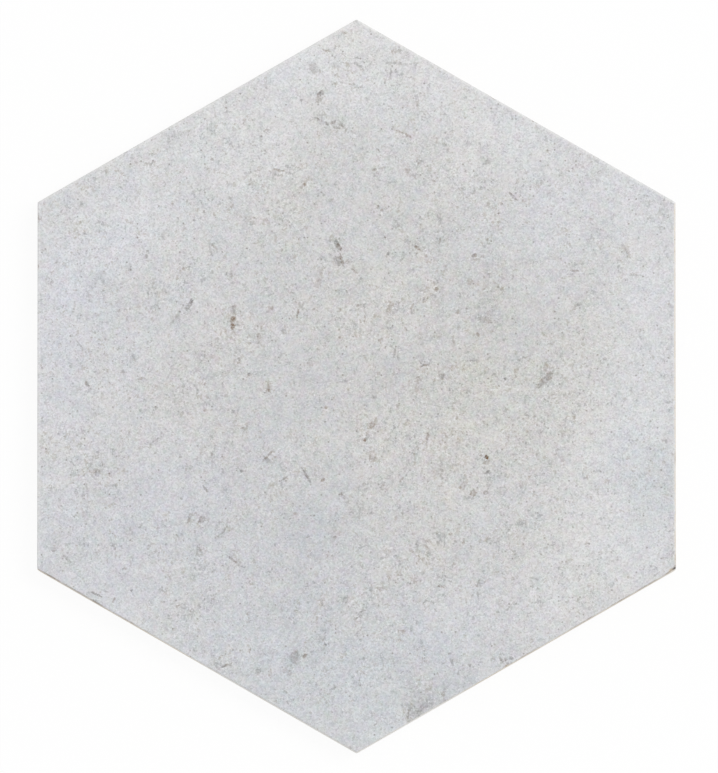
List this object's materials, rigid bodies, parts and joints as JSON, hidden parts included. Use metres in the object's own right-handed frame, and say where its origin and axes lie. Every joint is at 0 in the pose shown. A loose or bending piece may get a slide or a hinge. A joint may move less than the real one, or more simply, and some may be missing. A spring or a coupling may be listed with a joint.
{
  "type": "hexagonal slate-look porcelain tile",
  "caption": "Regular hexagonal floor or wall tile of pressed porcelain with a matt pale grey slate-look face, a rounded face edge and a honeycomb keying relief on its back.",
  "frame": {"origin": "middle of the back, in the plane of the ribs the tile lies on", "axes": "+Z is the outward side of the face, +Y runs to one tip and +X to the middle of one side"},
  "size_m": [0.2166, 0.2498, 0.009],
  "materials": {
    "tile": "matt"
  },
  "bodies": {
    "root": {"tile": "tile"}
  },
  "joints": []
}
